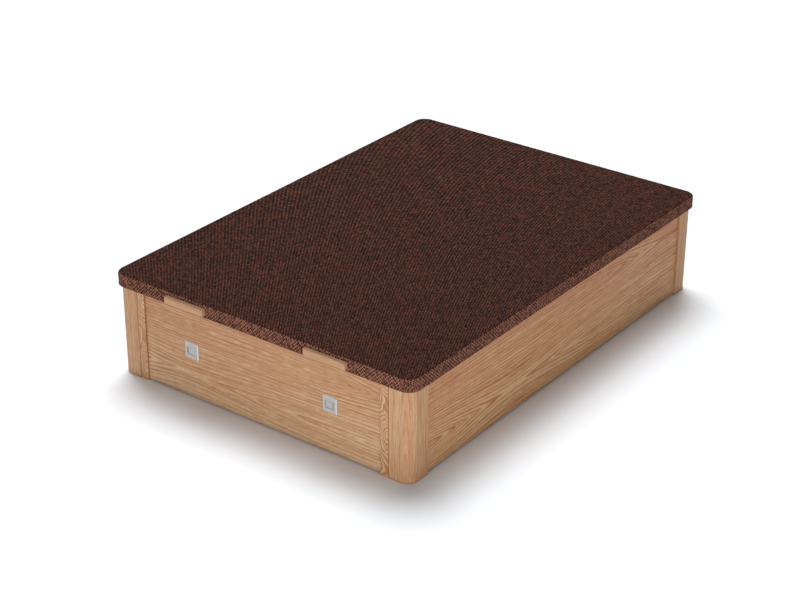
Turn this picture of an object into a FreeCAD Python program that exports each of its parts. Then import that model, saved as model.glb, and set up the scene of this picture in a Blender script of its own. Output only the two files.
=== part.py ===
import FreeCAD, Part
import math
import os

# Storage bed base with an upholstered lid that lifts on a linkage at the head end.
# Millimetres, +Z up. The foot end with its handles faces -Y and the head end +Y.
# The lid is drawn about the origin. At the end the whole part moves by half the handles' depth,
# so that the origin is on the floor under the middle of its footprint.

# Overall
lid_width = 1350.0
lid_length = 1900.0
lid_thickness = 52.0
lid_overhang = 12.0
box_height = 358.0

# Wall panels
panel_thickness = 25.0
panel_recess = 7.0
panel_floor_gap = 6.0
tongue_length = 12.0
tongue_thickness = 12.0
joint_clearance = 0.2

# Corner posts and cover strips
post_width = 90.0
post_depth = 98.0
post_corner_radius = 42.0
bead_width = 21.0
bead_groove_width = 3.0
bead_groove_depth = 1.5
strip_width = 38.0
strip_chamfer = 1.0

# Glides under the posts and buffers on top of them
glide_diameter = 22.0
glide_thickness = 4.0
glide_proud = 1.0
buffer_diameter = 16.0
buffer_thickness = 4.0
buffer_proud = 1.2
buffer_setback = 30.0
lid_rest_gap = 0.3

# Floor of the storage box
cleat_height = 20.0
cleat_depth = 20.0
cleat_lift = 2.0
floor_thickness = 8.0
floor_edge_gap = 1.0
beam_width = 60.0
beam_foot_diameter = 50.0
beam_foot_chamfer = 2.0

# Steel plates that tie each panel to its posts
joint_plate_length = 70.0
joint_plate_height = 40.0
joint_plate_thickness = 2.5
joint_plate_radius = 5.0
joint_plate_level_shares = (0.36, 0.72)
joint_plate_hole_shares = (-0.35, -0.15, 0.15, 0.35)

# Wood screws
screw_diameter = 4.0
screw_head_diameter = 8.0
screw_head_height = 2.2
screw_bite = 16.0
screw_fit = 0.1
screw_socket_width_share = 0.45
screw_socket_depth_share = 0.6
cleat_screws_per_side = 6
cleat_screws_per_end = 4

# Square ventilation plates in the foot-end panel
vent_size = 62.0
vent_place_share = 0.2341
vent_height = 194.0
vent_bezel_thickness = 4.0
vent_bevel = 3.0
vent_opening_width = 35.0
vent_opening_height = 28.0
vent_sleeve_wall = 2.5
vent_sleeve_fit = 0.2
vent_collar_size = 58.0
vent_collar_thickness = 3.0
vent_collar_lip = 2.0
vent_cover_slit = 1.2
vent_finger_slit = 3.0
vent_cover_thickness = 2.5
vent_cover_sink = 0.6
vent_rib_height = 3.0
vent_rib_depth = 5.0
vent_rib_fit = 0.1
vent_rib_share = 0.3

# Lid layers
lid_corner_radius = 50.0
lid_top_edge_radius = 12.0
lid_bottom_edge_radius = 4.0
cover_wall = 2.0
cover_ease = 0.3
cover_turn_under = 60.0
lining_gap = 0.5
batten_depth = 30.0
end_batten_width = 50.0
side_batten_margin = 4.0
slat_width = 70.0
slat_count = 3
lid_board_thickness = 4.0

# Handle bars on the lid's foot-end border
handle_length = 180.0
handle_height = 30.5
handle_depth = 16.0
handle_place_share = 0.2352
handle_lift = 8.5
handle_edge_radius = 3.0
handle_end_radius = 4.0
handle_screw_bite = 11.0
handle_screw_share = 0.32

# Lift linkage: each pivot lies so far in from the lid's head end and so far below the rim
rear_foot_in = 352.0
rear_foot_drop = 188.0
front_foot_in = 499.0
front_foot_drop = 169.0
rear_head_in = 88.0
rear_head_drop = 24.0
front_head_in = 172.0
front_head_drop = 27.0
link_swing_deg = 50.0
lid_tilt_deg = 36.0
front_swing_share = 0.948
travel_steps = 60

# Lift linkage: plates, links and pins
base_plate_thickness = 4.0
base_plate_margin = 28.0
base_plate_foot_margin = 18.0
base_plate_radius = 10.0
base_plate_screw_shares = (0.3, 0.7)
arm_gap = 1.5
arm_thickness = 4.0
arm_leg_width = 40.0
arm_reach = 260.0
arm_end_margin = 30.0
arm_drop_margin = 18.0
arm_nose_height = 20.0
arm_radius = 6.0
arm_screws = 5
arm_screw_end = 22.0
link_gap = 1.5
link_thickness = 5.0
link_width = 30.0
pivot_diameter = 12.0
pivot_tail_diameter = 9.0
pivot_collar_diameter = 20.0
pivot_head_height = 3.0
pivot_rivet_height = 1.6
pivot_fit = 0.05
axial_play = 0.4
slide_pin_diameter = 10.0
slide_clearance = 0.5

# Gas struts
strut_radius_arm = 215.0
strut_foot_lift = 26.0
strut_inset = 18.0
strut_barrel_diameter = 22.0
strut_rod_diameter = 10.0
strut_rod_clearance = 0.5
strut_eye_diameter = 20.0
strut_eye_width = 10.0
strut_pin_diameter = 8.0
strut_shoulder_diameter = 14.0
strut_neck_diameter = 9.0
strut_neck_length = 6.0
strut_mouth_gap = 6.0
strut_overlap = 20.0
strut_bottom_gap = 5.0

# One overrun for every cut that passes right through
overrun = 5.0

# Levels
rim = box_height
lid_bottom = rim + buffer_proud + lid_rest_gap
lid_top = lid_bottom + lid_thickness
panel_bottom = panel_floor_gap
post_bottom = glide_proud
cleat_bottom = panel_bottom + cleat_lift
cleat_top = cleat_bottom + cleat_height
floor_top = cleat_top + floor_thickness

# Plan places, all half sizes from the middle
post_x = lid_width / 2 - lid_overhang
post_y = lid_length / 2 - lid_overhang
post_end_x = post_x - post_width
post_end_y = post_y - post_depth
panel_x = post_x - panel_recess
panel_y = post_y - panel_recess
wall_x = panel_x - panel_thickness
wall_y = panel_y - panel_thickness
vent_offset = lid_width * vent_place_share
handle_offset = lid_width * handle_place_share

# Planes of the right-hand linkage, from the side panel inwards
plate_in = wall_x - base_plate_thickness
arm_out = plate_in - arm_gap
arm_in = arm_out - arm_thickness
arm_leg_in = arm_out - arm_leg_width
link_out = arm_in - link_gap
link_in = link_out - link_thickness
strut_x = link_in - strut_inset

# Lid layers, from the cover inwards
layer_x = lid_width / 2 - cover_wall - cover_ease
layer_y = lid_length / 2 - cover_wall - cover_ease
layer_radius = lid_corner_radius - cover_wall - cover_ease
frame_bottom = lid_bottom + cover_wall
frame_top = frame_bottom + batten_depth
board_top = frame_top + lid_board_thickness
foam_top = lid_top - cover_wall - cover_ease
side_batten_in = arm_leg_in - side_batten_margin

X_AXIS = FreeCAD.Vector(1, 0, 0)
Y_AXIS = FreeCAD.Vector(0, 1, 0)
Z_AXIS = FreeCAD.Vector(0, 0, 1)
CENTRE = FreeCAD.Vector(0, 0, 0)


def point(x, y, z):
    return FreeCAD.Vector(x, y, z)


def block(x0, x1, y0, y1, z0, z1):
    """A box between two corners."""
    return Part.makeBox(x1 - x0, y1 - y0, z1 - z0, point(x0, y0, z0))


def rod(diameter, length, start, direction):
    """A round bar from start along direction."""
    return Part.makeCylinder(diameter / 2, length, start, direction)


def joined(shapes):
    """One solid from shapes that meet."""
    return shapes[0].multiFuse(shapes[1:]).removeSplitter()


def without(shape, cutters):
    """The shape with every cutter taken out."""
    return shape.cut(Part.makeCompound(cutters))


def group(shapes):
    """Separate solids in one piece list."""
    return Part.makeCompound(shapes)


def flipped_x(shape):
    return shape.mirror(CENTRE, X_AXIS)


def flipped_y(shape):
    return shape.mirror(CENTRE, Y_AXIS)


def edges_along(shape, axis):
    """The straight edges that run along an axis."""
    found = []
    for edge in shape.Edges:
        if edge.Curve.TypeId == "Part::GeomLine" and abs(edge.Curve.Direction.dot(axis)) > 0.99:
            found.append(edge)
    return found


def edges_at(shape, axis, level):
    """The edges whose ends all lie on one level along an axis."""
    found = []
    for edge in shape.Edges:
        if all(abs(corner.Point.dot(axis) - level) < 1e-6 for corner in edge.Vertexes):
            found.append(edge)
    return found


def rounded_slab(half_x, half_y, radius, z0, z1):
    """A flat slab about the middle, with its upright edges rounded."""
    slab = block(-half_x, half_x, -half_y, half_y, z0, z1)
    return slab.makeFillet(radius, edges_along(slab, Z_AXIS))


def plate_yz(outline, x0, x1):
    """A plate across X whose outline is (y, z) corners."""
    corners = [point(x0, y, z) for y, z in outline]
    wire = Part.makePolygon(corners + corners[:1])
    return Part.Face(wire).extrude(point(x1 - x0, 0, 0))


def bar_yz(start, end, width, x0, x1):
    """A flat bar with round ends about two (y, z) places."""
    y0, z0 = start
    y1, z1 = end
    length = math.hypot(y1 - y0, z1 - z0)
    side_y = -(z1 - z0) / length * width / 2
    side_z = (y1 - y0) / length * width / 2
    outline = [
        (y0 + side_y, z0 + side_z),
        (y1 + side_y, z1 + side_z),
        (y1 - side_y, z1 - side_z),
        (y0 - side_y, z0 - side_z),
    ]
    ends = [rod(width, x1 - x0, point(x0, y, z), X_AXIS) for y, z in (start, end)]
    return joined([plate_yz(outline, x0, x1)] + ends)


def turned_pin(place, x_start, steps):
    """A stepped pin along -X: each step is a diameter and the X where it ends."""
    y, z = place
    x = x_start
    pieces = []
    for diameter, x_end in steps:
        pieces.append(rod(diameter, x - x_end, point(x_end, y, z), X_AXIS))
        x = x_end
    return joined(pieces)


def screw(seat, direction, length):
    """A round-headed wood screw whose head sits on seat and whose shank runs along direction."""
    shank = rod(screw_diameter, length, seat, direction)
    head_end = seat - direction * screw_head_height
    head = rod(screw_head_diameter, screw_head_height, head_end, direction)
    socket_depth = screw_head_height * screw_socket_depth_share
    socket = rod(screw_head_diameter * screw_socket_width_share, socket_depth, head_end, direction)
    return joined([shank, head]).cut(socket)


def screw_hole(seat, direction, length):
    """The hole for such a screw, from just before its seat."""
    start = seat - direction * overrun
    return rod(screw_diameter + 2 * screw_fit, length + overrun + screw_fit, start, direction)


def even_places(count, half_span):
    """Places evenly spread from -half_span to half_span."""
    return [half_span * (2 * i / (count - 1) - 1) for i in range(count)]


def turned(place, degrees):
    """A (y, z) offset turned about +X."""
    angle = math.radians(degrees)
    y, z = place
    return (y * math.cos(angle) - z * math.sin(angle), y * math.sin(angle) + z * math.cos(angle))


def offset(start, end):
    return (end[0] - start[0], end[1] - start[1])


def between(start, end, share):
    return (start[0] + (end[0] - start[0]) * share, start[1] + (end[1] - start[1]) * share)


# Linkage pivots as (y, z)
head_end = lid_length / 2
rear_foot = (head_end - rear_foot_in, rim - rear_foot_drop)
front_foot = (head_end - front_foot_in, rim - front_foot_drop)
rear_head = (head_end - rear_head_in, rim - rear_head_drop)
front_head = (head_end - front_head_in, rim - front_head_drop)

# Strut ends: both lie one strut arm from the rear link's foot, so the strut turns half as far
rear_link_length = math.hypot(*offset(rear_foot, rear_head))
strut_head = between(rear_foot, rear_head, strut_radius_arm / rear_link_length)
strut_foot_z = floor_top + strut_foot_lift
strut_foot_dy = math.sqrt(strut_radius_arm ** 2 - (rear_foot[1] - strut_foot_z) ** 2)
strut_foot = (rear_foot[0] + strut_foot_dy, strut_foot_z)
strut_closed = math.hypot(*offset(strut_foot, strut_head))
strut_open_head = turned(offset(rear_foot, strut_head), link_swing_deg)
strut_open = math.hypot(*offset(offset(rear_foot, strut_foot), strut_open_head))


def slide_path():
    """Where the front link's head runs in the lid's own frame, as offsets from its rest place."""
    path = []
    for step in range(travel_steps + 1):
        share = step / travel_steps
        swing = link_swing_deg * share
        pin = turned(offset(front_foot, front_head), swing * front_swing_share)
        pin = (front_foot[0] + pin[0], front_foot[1] + pin[1])
        hinge = turned(offset(rear_foot, rear_head), swing)
        hinge = (rear_foot[0] + hinge[0], rear_foot[1] + hinge[1])
        in_lid = turned(offset(hinge, pin), lid_tilt_deg * share)
        path.append(offset(offset(rear_head, front_head), in_lid))
    return path


def corner_posts():
    """An L-shaped post with a rounded outer corner, grooved for two panel tongues."""
    post = block(post_end_x, post_x, -post_y, -post_end_y, post_bottom, rim)
    corner = [e for e in edges_along(post, Z_AXIS)
              if e.Vertexes[0].Point.x > post_x - joint_clearance
              and e.Vertexes[0].Point.y < -post_y + joint_clearance]
    post = post.makeFillet(post_corner_radius, corner)
    inside = block(post_end_x - overrun, wall_x, -wall_y, -post_end_y + overrun,
                   post_bottom - overrun, rim + overrun)
    groove_half = tongue_thickness / 2 + joint_clearance
    groove_depth = tongue_length + joint_clearance
    groove_floor = panel_bottom - joint_clearance
    end_mid = -(panel_y + wall_y) / 2
    side_mid = (panel_x + wall_x) / 2
    end_groove = block(post_end_x - overrun, post_end_x + groove_depth, end_mid - groove_half,
                       end_mid + groove_half, groove_floor, rim + overrun)
    side_groove = block(side_mid - groove_half, side_mid + groove_half,
                        -post_end_y - groove_depth, -post_end_y + overrun,
                        groove_floor, rim + overrun)
    bead_y = -post_end_y - bead_width
    bead = Part.makePolygon([
        point(post_x + bead_groove_depth, bead_y - bead_groove_width, post_bottom - overrun),
        point(post_x - bead_groove_depth, bead_y, post_bottom - overrun),
        point(post_x + bead_groove_depth, bead_y + bead_groove_width, post_bottom - overrun),
        point(post_x + bead_groove_depth, bead_y - bead_groove_width, post_bottom - overrun),
    ])
    bead = Part.Face(bead).extrude(point(0, 0, rim + 2 * overrun))
    seats = [rod(glide_diameter, glide_thickness - glide_proud + overrun,
                 point(x, y, post_bottom - overrun), Z_AXIS) for x, y in glide_places()]
    seats += [rod(buffer_diameter, buffer_thickness, point(x, y, rim + buffer_proud - buffer_thickness),
                  Z_AXIS) for x, y in buffer_places()]
    post = without(post, [inside, end_groove, side_groove, bead] + seats + corner_screw_holes())
    return {
        "front_right_post": post,
        "front_left_post": flipped_x(post),
        "rear_right_post": flipped_y(post),
        "rear_left_post": flipped_x(flipped_y(post)),
    }


def glide_places():
    """Two glides under the front right post, one in each leg."""
    wall_half = (post_x - wall_x) / 2
    return [(post_x - wall_half, -post_end_y - buffer_setback),
            (post_end_x + buffer_setback, -post_y + wall_half)]


def buffer_places():
    """One buffer on the front right post, in its side leg."""
    return [((post_x + wall_x) / 2, -post_end_y - buffer_setback)]


def four_corners(solids):
    """The front right corner's solids and their mirror images at the other corners."""
    right = solids + [flipped_y(s) for s in solids]
    return group(right + [flipped_x(s) for s in right])


def glides_and_buffers():
    glides = [rod(glide_diameter, glide_thickness, CENTRE + point(x, y, 0), Z_AXIS)
              for x, y in glide_places()]
    buffers = [rod(buffer_diameter, buffer_thickness, point(x, y, rim + buffer_proud - buffer_thickness),
                   Z_AXIS) for x, y in buffer_places()]
    return {"post_glides": four_corners(glides), "lid_buffers": four_corners(buffers)}


def cover_strips():
    """A flat strip that covers the joint between an end panel and a post."""
    strip = block(post_end_x - strip_width, post_end_x, -post_y, -panel_y, post_bottom, rim)
    front = [e for e in edges_along(strip, Z_AXIS)
             if e.Vertexes[0].Point.y < -post_y + joint_clearance]
    strip = strip.makeChamfer(strip_chamfer, front)
    return {
        "front_right_strip": strip,
        "front_left_strip": flipped_x(strip),
        "rear_right_strip": flipped_y(strip),
        "rear_left_strip": flipped_x(flipped_y(strip)),
    }


def joint_plate_places():
    """Places on the front right corner: each is (along X or Y, middle, z) on an inner wall."""
    levels = [rim * share for share in joint_plate_level_shares]
    return [("x", post_end_x, z) for z in levels] + [("y", -post_end_y, z) for z in levels]


def joint_plate_screws(direction, middle, level):
    """Seats and directions of one joint plate's screws."""
    seats = []
    for share in joint_plate_hole_shares:
        along = middle + joint_plate_length * share
        if direction == "x":
            seats.append((point(along, -wall_y + joint_plate_thickness, level), -Y_AXIS))
        else:
            seats.append((point(wall_x - joint_plate_thickness, along, level), X_AXIS))
    return seats


def corner_screw_holes():
    """The joint plates' screw holes at the front right corner."""
    return [screw_hole(seat, way, screw_bite)
            for place in joint_plate_places() for seat, way in joint_plate_screws(*place)]


def joint_plates():
    plates = []
    screws = []
    for direction, middle, level in joint_plate_places():
        low, high = level - joint_plate_height / 2, level + joint_plate_height / 2
        start, end = middle - joint_plate_length / 2, middle + joint_plate_length / 2
        if direction == "x":
            plate = block(start, end, -wall_y, -wall_y + joint_plate_thickness, low, high)
            plate = plate.makeFillet(joint_plate_radius, edges_along(plate, Y_AXIS))
        else:
            plate = block(wall_x - joint_plate_thickness, wall_x, start, end, low, high)
            plate = plate.makeFillet(joint_plate_radius, edges_along(plate, X_AXIS))
        seats = joint_plate_screws(direction, middle, level)
        plates.append(without(plate, [screw_hole(seat, way, screw_bite) for seat, way in seats]))
        screws += [screw(seat, way, screw_bite) for seat, way in seats]
    return {"joint_plates": four_corners(plates), "joint_plate_screws": four_corners(screws)}


def cleat_screw_seats():
    """Seats and directions of the screws that hold the cleats to the panels."""
    level = cleat_bottom + cleat_height / 2
    seats = []
    for y in even_places(cleat_screws_per_side, post_end_y - joint_plate_length):
        seats.append((point(wall_x - cleat_depth, y, level), X_AXIS))
        seats.append((point(-wall_x + cleat_depth, y, level), -X_AXIS))
    for x in even_places(cleat_screws_per_end, post_end_x - joint_plate_length):
        seats.append((point(x, wall_y - cleat_depth, level), Y_AXIS))
        seats.append((point(x, -wall_y + cleat_depth, level), -Y_AXIS))
    return seats


def cleat_screw_length():
    return cleat_depth + screw_bite


def cleat_holes():
    return [screw_hole(seat, way, cleat_screw_length()) for seat, way in cleat_screw_seats()]


def end_panel():
    """The foot-end panel without its vents: a board with a tongue at each end."""
    board = block(-post_end_x, post_end_x, -panel_y, -wall_y, panel_bottom, rim)
    middle = -(panel_y + wall_y) / 2
    reach = post_end_x + tongue_length
    tongue = block(-reach, reach, middle - tongue_thickness / 2, middle + tongue_thickness / 2,
                   panel_bottom, rim)
    return joined([board, tongue])


def side_panel():
    board = block(wall_x, panel_x, -post_end_y, post_end_y, panel_bottom, rim)
    middle = (panel_x + wall_x) / 2
    reach = post_end_y + tongue_length
    tongue = block(middle - tongue_thickness / 2, middle + tongue_thickness / 2, -reach, reach,
                   panel_bottom, rim)
    return joined([board, tongue])


def wall_panels():
    vents = [vent_bore(vent_sleeve_wall + vent_sleeve_fit, side * vent_offset,
                       -panel_y - overrun, -wall_y + overrun) for side in (-1, 1)]
    holes = [four_corners(corner_screw_holes())] + cleat_holes()
    right = side_panel()
    plate_holes = [screw_hole(seat, X_AXIS, plate_screw_length()) for seat in base_plate_seats()]
    return {
        "front_panel": without(end_panel(), vents + holes),
        "rear_panel": without(flipped_y(end_panel()), holes),
        "right_side_panel": without(right, holes + plate_holes),
        "left_side_panel": without(flipped_x(right), holes + [flipped_x(h) for h in plate_holes]),
    }


def storage_floor():
    side = block(wall_x - cleat_depth, wall_x, -wall_y, wall_y, cleat_bottom, cleat_top)
    between_x = wall_x - cleat_depth
    end = block(-between_x, between_x, -wall_y, -wall_y + cleat_depth, cleat_bottom, cleat_top)
    holes = cleat_holes()
    cleats = [without(c, holes) for c in (side, flipped_x(side), end, flipped_y(end))]
    screws = [screw(seat, way, cleat_screw_length()) for seat, way in cleat_screw_seats()]
    beam = block(-between_x, between_x, -beam_width / 2, beam_width / 2, cleat_bottom, cleat_top)
    foot = rod(beam_foot_diameter, cleat_bottom, CENTRE, Z_AXIS)
    foot = foot.makeChamfer(beam_foot_chamfer, edges_at(foot, Z_AXIS, 0))
    board_x = wall_x - floor_edge_gap
    board_y = wall_y - floor_edge_gap
    board = block(-board_x, board_x, -board_y, -floor_edge_gap / 2, cleat_top, floor_top)
    return {
        "floor_cleats": group(cleats),
        "cleat_screws": group(screws),
        "floor_beam": beam,
        "floor_beam_foot": foot,
        "front_floor_board": board,
        "rear_floor_board": flipped_y(board),
    }


def square_bar(size, x, y0, y1):
    """A square bar through the foot-end panel at a vent's place."""
    half = size / 2
    return block(x - half, x + half, y0, y1, vent_height - half, vent_height + half)


def vent_bore(grow, x, y0, y1):
    """A bar through the panel that is larger than a vent's oblong opening on each side."""
    half_x = vent_opening_width / 2 + grow
    half_z = vent_opening_height / 2 + grow
    return block(x - half_x, x + half_x, y0, y1, vent_height - half_z, vent_height + half_z)


def ventilation():
    """A bevelled frame with its sleeve, a plate held by two ribs, and a collar inside.

    The slit round the plate is wider on the outer side, where a finger or a tip pulls it out.
    """
    face = -panel_y - vent_bezel_thickness
    collar_end = -wall_y + vent_collar_thickness
    sleeve_end = collar_end + vent_collar_lip
    bezel = square_bar(vent_size, vent_offset, face, -panel_y)
    bezel = bezel.makeChamfer(vent_bevel, edges_at(bezel, Y_AXIS, face))
    sleeve = vent_bore(vent_sleeve_wall, vent_offset, -panel_y, sleeve_end)
    opening = vent_bore(0, vent_offset, face - overrun, sleeve_end + overrun)
    frame = joined([bezel, sleeve]).cut(opening)
    plate_face = face + vent_cover_sink
    plate_back = plate_face + vent_cover_thickness
    half_x = vent_opening_width / 2
    half_z = vent_opening_height / 2 - vent_cover_slit
    plate = block(vent_offset - half_x + vent_cover_slit, vent_offset + half_x - vent_finger_slit,
                  plate_face, plate_back, vent_height - half_z, vent_height + half_z)
    rib_half = half_x - vent_rib_fit
    ribs = []
    for side in (-1, 1):
        level = vent_height + side * vent_opening_height * vent_rib_share
        ribs.append(block(vent_offset - rib_half, vent_offset + rib_half, plate_back,
                          plate_back + vent_rib_depth, level - vent_rib_height / 2,
                          level + vent_rib_height / 2))
    cover = joined([plate] + ribs)
    collar = square_bar(vent_collar_size, vent_offset, -wall_y, collar_end)
    collar = collar.cut(vent_bore(vent_sleeve_wall + vent_sleeve_fit, vent_offset,
                                  -wall_y - overrun, collar_end + overrun))
    return {
        "right_vent_frame": frame,
        "left_vent_frame": flipped_x(frame),
        "right_vent_cover": cover,
        "left_vent_cover": flipped_x(cover),
        "vent_collars": group([collar, flipped_x(collar)]),
    }


def arm_screw_seats():
    """Seats under the right lid arm, pointing up into the side batten."""
    x = arm_leg_in + (link_in - arm_leg_in) / 2
    start = front_head[0] - arm_reach + arm_screw_end
    end = rear_head[0] + arm_end_margin - arm_screw_end
    step = (end - start) / (arm_screws - 1)
    return [point(x, start + step * i, lid_bottom - arm_thickness) for i in range(arm_screws)]


def arm_screw_length():
    return arm_thickness + cover_wall + screw_bite


def arm_screw_holes():
    right = [screw_hole(seat, Z_AXIS, arm_screw_length()) for seat in arm_screw_seats()]
    return right + [flipped_x(hole) for hole in right]


def handle_screw_seats():
    """Seats on the front batten's inner face, pointing out to the handles."""
    level = lid_bottom + handle_lift + handle_height / 2
    y = -layer_y + end_batten_width
    seats = []
    for x in (-handle_offset, handle_offset):
        for side in (-1, 1):
            seats.append(point(x + side * handle_length * handle_screw_share, y, level))
    return seats


def handle_screw_length():
    return end_batten_width + cover_wall + cover_ease + handle_screw_bite


def handle_holes():
    return [screw_hole(seat, -Y_AXIS, handle_screw_length()) for seat in handle_screw_seats()]


def lid_frame():
    """Side battens over the lid arms, end battens and cross slats between them."""
    outline = rounded_slab(layer_x, layer_y, layer_radius, frame_bottom, frame_top)
    side = outline.common(block(side_batten_in, lid_width, -lid_length, lid_length,
                                frame_bottom, frame_top))
    front = block(-side_batten_in, side_batten_in, -layer_y, -layer_y + end_batten_width,
                  frame_bottom, frame_top)
    slats = []
    clear_half = layer_y - end_batten_width
    pitch = 2 * clear_half / (slat_count + 1)
    for i in range(slat_count):
        y = -clear_half + pitch * (i + 1)
        slats.append(block(-side_batten_in, side_batten_in, y - slat_width / 2, y + slat_width / 2,
                           frame_bottom, frame_top))
    return {
        "lid_right_batten": without(side, arm_screw_holes()),
        "lid_left_batten": without(flipped_x(side), arm_screw_holes()),
        "lid_front_batten": without(front, handle_holes()),
        "lid_rear_batten": flipped_y(front),
        "lid_cross_slats": group(slats),
    }


def lid_layers():
    """Board, foam and the fabric cover that wraps them and turns in under the frame."""
    board = rounded_slab(layer_x, layer_y, layer_radius, frame_top, board_top)
    foam = rounded_slab(layer_x, layer_y, layer_radius, board_top, foam_top)
    foam_edge = lid_top_edge_radius - cover_wall - cover_ease
    foam = foam.makeFillet(foam_edge, edges_at(foam, Z_AXIS, foam_top))
    outer = rounded_slab(lid_width / 2, lid_length / 2, lid_corner_radius, lid_bottom, lid_top)
    outer = outer.makeFillet(lid_top_edge_radius, edges_at(outer, Z_AXIS, lid_top))
    outer = outer.makeFillet(lid_bottom_edge_radius, edges_at(outer, Z_AXIS, lid_bottom))
    inner = rounded_slab(lid_width / 2 - cover_wall, lid_length / 2 - cover_wall,
                         lid_corner_radius - cover_wall, frame_bottom, lid_top - cover_wall)
    inner = inner.makeFillet(lid_top_edge_radius - cover_wall,
                             edges_at(inner, Z_AXIS, lid_top - cover_wall))
    mouth_x = lid_width / 2 - cover_turn_under
    mouth_y = lid_length / 2 - cover_turn_under
    mouth = block(-mouth_x, mouth_x, -mouth_y, mouth_y, lid_bottom - overrun, frame_bottom + overrun)
    lining = block(-mouth_x + lining_gap, mouth_x - lining_gap, -mouth_y + lining_gap,
                   mouth_y - lining_gap, lid_bottom, frame_bottom)
    return {
        "lid_board": board,
        "lid_foam": foam,
        "lid_cover": without(outer, [inner, mouth] + arm_screw_holes() + handle_holes()),
        "lid_lining": without(lining, arm_screw_holes()),
    }


def handles():
    """Wooden bars with eased edges, screwed on from inside the lid."""
    back = -lid_length / 2
    half = handle_length / 2
    low = lid_bottom + handle_lift
    bar = block(handle_offset - half, handle_offset + half, back - handle_depth, back,
                low, low + handle_height)
    ends = [e for e in edges_along(bar, Z_AXIS)
            if e.Vertexes[0].Point.y < back - handle_depth / 2]
    bar = bar.makeFillet(handle_end_radius, ends)
    bar = bar.makeFillet(handle_edge_radius, edges_at(bar, Y_AXIS, back - handle_depth))
    screws = [screw(seat, -Y_AXIS, handle_screw_length()) for seat in handle_screw_seats()]
    return {
        "right_handle": without(bar, handle_holes()),
        "left_handle": without(flipped_x(bar), handle_holes()),
        "handle_screws": group(screws),
    }


def base_plate_seats():
    """Screw seats on the right base plate's inner face."""
    seats = []
    for share in base_plate_screw_shares:
        for start, end in ((front_foot, rear_foot), (rear_foot, strut_foot)):
            y, z = between(start, end, share)
            seats.append(point(plate_in, y, z))
    return seats


def plate_screw_length():
    return base_plate_thickness + screw_bite


def lift_bases():
    """The plate on the side panel, with the pins and the stud that stand on it."""
    margin = base_plate_margin
    foot_low = strut_foot[1] - base_plate_foot_margin
    outline = [
        (front_foot[0] - margin, front_foot[1] + margin),
        (rear_foot[0] + margin, rear_foot[1] + margin),
        (strut_foot[0] + margin, strut_foot[1] + margin),
        (strut_foot[0] + margin, foot_low),
        (strut_foot[0] - margin, foot_low),
        (front_foot[0] - margin, front_foot[1] - margin),
    ]
    plate = plate_yz(outline, plate_in, wall_x)
    plate = plate.makeFillet(base_plate_radius, edges_along(plate, X_AXIS))
    tail_hole = pivot_tail_diameter + 2 * pivot_fit
    cuts = [rod(tail_hole, base_plate_thickness + 2 * overrun, point(plate_in - overrun, y, z), X_AXIS)
            for y, z in (rear_foot, front_foot, strut_foot)]
    cuts += [screw_hole(seat, X_AXIS, plate_screw_length()) for seat in base_plate_seats()]
    plate = without(plate, cuts)
    screws = [screw(seat, X_AXIS, plate_screw_length()) for seat in base_plate_seats()]
    pins = []
    for place in (rear_foot, front_foot):
        pins.append(turned_pin(place, wall_x, [
            (pivot_tail_diameter, plate_in),
            (pivot_collar_diameter, link_out + axial_play),
            (pivot_diameter, link_in - axial_play),
            (pivot_collar_diameter, link_in - axial_play - pivot_head_height),
        ]))
    stud = turned_pin(strut_foot, wall_x, [(pivot_tail_diameter, plate_in)] + strut_stud_steps())
    return {
        "right_base_plate": plate,
        "left_base_plate": flipped_x(plate),
        "base_plate_screws": group(screws + [flipped_x(s) for s in screws]),
        "base_pivot_pins": group(pins + [flipped_x(p) for p in pins]),
        "strut_foot_studs": group([stud, flipped_x(stud)]),
    }


def strut_stud_steps():
    """Shoulder, journal and head that carry a strut's eye."""
    eye_half = strut_eye_width / 2 + axial_play
    return [
        (strut_shoulder_diameter, strut_x + eye_half),
        (strut_pin_diameter, strut_x - eye_half),
        (strut_shoulder_diameter, strut_x - eye_half - pivot_head_height),
    ]


def links():
    """The two flat links, the slide pin on the front one and the rod stud on the rear one."""
    bore = pivot_diameter + 2 * pivot_fit
    tail_bore = pivot_tail_diameter + 2 * pivot_fit
    x0 = link_in - overrun
    length = link_thickness + 2 * overrun
    rear = bar_yz(rear_foot, rear_head, link_width, link_in, link_out)
    rear = without(rear, [
        rod(bore, length, point(x0, *rear_foot), X_AXIS),
        rod(bore, length, point(x0, *rear_head), X_AXIS),
        rod(tail_bore, length, point(x0, *strut_head), X_AXIS),
    ])
    front = bar_yz(front_foot, front_head, link_width, link_in, link_out)
    front = without(front, [
        rod(bore, length, point(x0, *front_foot), X_AXIS),
        rod(tail_bore, length, point(x0, *front_head), X_AXIS),
    ])
    slide_pin = turned_pin(front_head, arm_out + axial_play + pivot_rivet_height, [
        (pivot_collar_diameter, arm_out + axial_play),
        (slide_pin_diameter, link_out),
        (pivot_tail_diameter, link_in),
        (pivot_collar_diameter, link_in - pivot_rivet_height),
    ])
    stud = turned_pin(strut_head, link_out, [(pivot_tail_diameter, link_in)] + strut_stud_steps())
    return {
        "right_rear_link": rear,
        "left_rear_link": flipped_x(rear),
        "right_front_link": front,
        "left_front_link": flipped_x(front),
        "right_slide_pin": slide_pin,
        "left_slide_pin": flipped_x(slide_pin),
        "right_rod_stud": stud,
        "left_rod_stud": flipped_x(stud),
    }


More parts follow.
